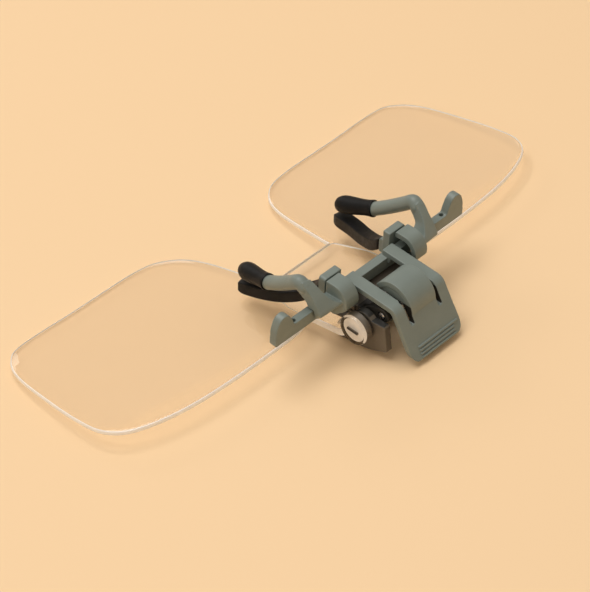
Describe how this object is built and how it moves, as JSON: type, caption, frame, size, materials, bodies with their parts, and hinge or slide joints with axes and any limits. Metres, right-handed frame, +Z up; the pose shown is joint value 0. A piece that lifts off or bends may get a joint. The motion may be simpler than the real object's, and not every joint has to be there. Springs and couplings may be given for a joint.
{
  "type": "clip-on flip-up magnifier",
  "caption": "Sprung clip for a spectacle bridge, with a thumb plate, rubber-tipped claws and a clear one-piece double magnifying lens that flips on a knobbed hinge.",
  "frame": {"origin": "middle of the footprint, on the table the magnifier lies on", "axes": "+Z up, +X across the face from the left lens to the right lens, +Y from the thumb plate towards the far edge of the lenses"},
  "size_m": [0.12, 0.064, 0.0186],
  "materials": {
    "grey_plastic": "satin moulded",
    "dark_plastic": "satin moulded",
    "black_rubber": "matte",
    "clear_acrylic": "clear, polished",
    "steel": "bright"
  },
  "bodies": {
    "base": {"clip_base": "grey_plastic", "lower_pad_left": "black_rubber", "lower_pad_right": "black_rubber", "pivot_pin": "steel", "torsion_spring": "steel"},
    "lever": {"thumb_lever": "grey_plastic", "upper_arm_left": "grey_plastic", "upper_arm_right": "grey_plastic", "upper_tip_left": "black_rubber", "upper_tip_right": "black_rubber"},
    "lens": {"lens_holder": "dark_plastic", "holder_cap": "dark_plastic", "cap_screw_left": "steel", "cap_screw_right": "steel", "lens_plate": "clear_acrylic", "hinge_bolt_right": "steel", "hinge_nut_right": "steel", "hinge_washer_right": "steel"},
    "knob": {"hinge_knob_left": "clear_acrylic", "hinge_bolt_left": "steel", "hinge_washer_left": "steel"}
  },
  "joints": [
    {"name": "squeeze", "type": "hinge", "parent": "base", "child": "lever", "pos_m": [0, -0.02367, 0.00874], "axis": [1, 0, 0], "range_deg": [0, 14], "stiffness_Nm_per_rad": 0.01, "springref_deg": -22.92},
    {"name": "lens_flip", "type": "hinge", "parent": "base", "child": "lens", "pos_m": [0, -0.02062, 0.0068], "axis": [-1, 0, 0], "range_deg": [0, 80]},
    {"name": "knob_turn", "type": "hinge", "parent": "base", "child": "knob", "pos_m": [-0.0105, -0.02062, 0.0068], "axis": [-1, 0, 0], "range_deg": [-180, 180]}
  ]
}
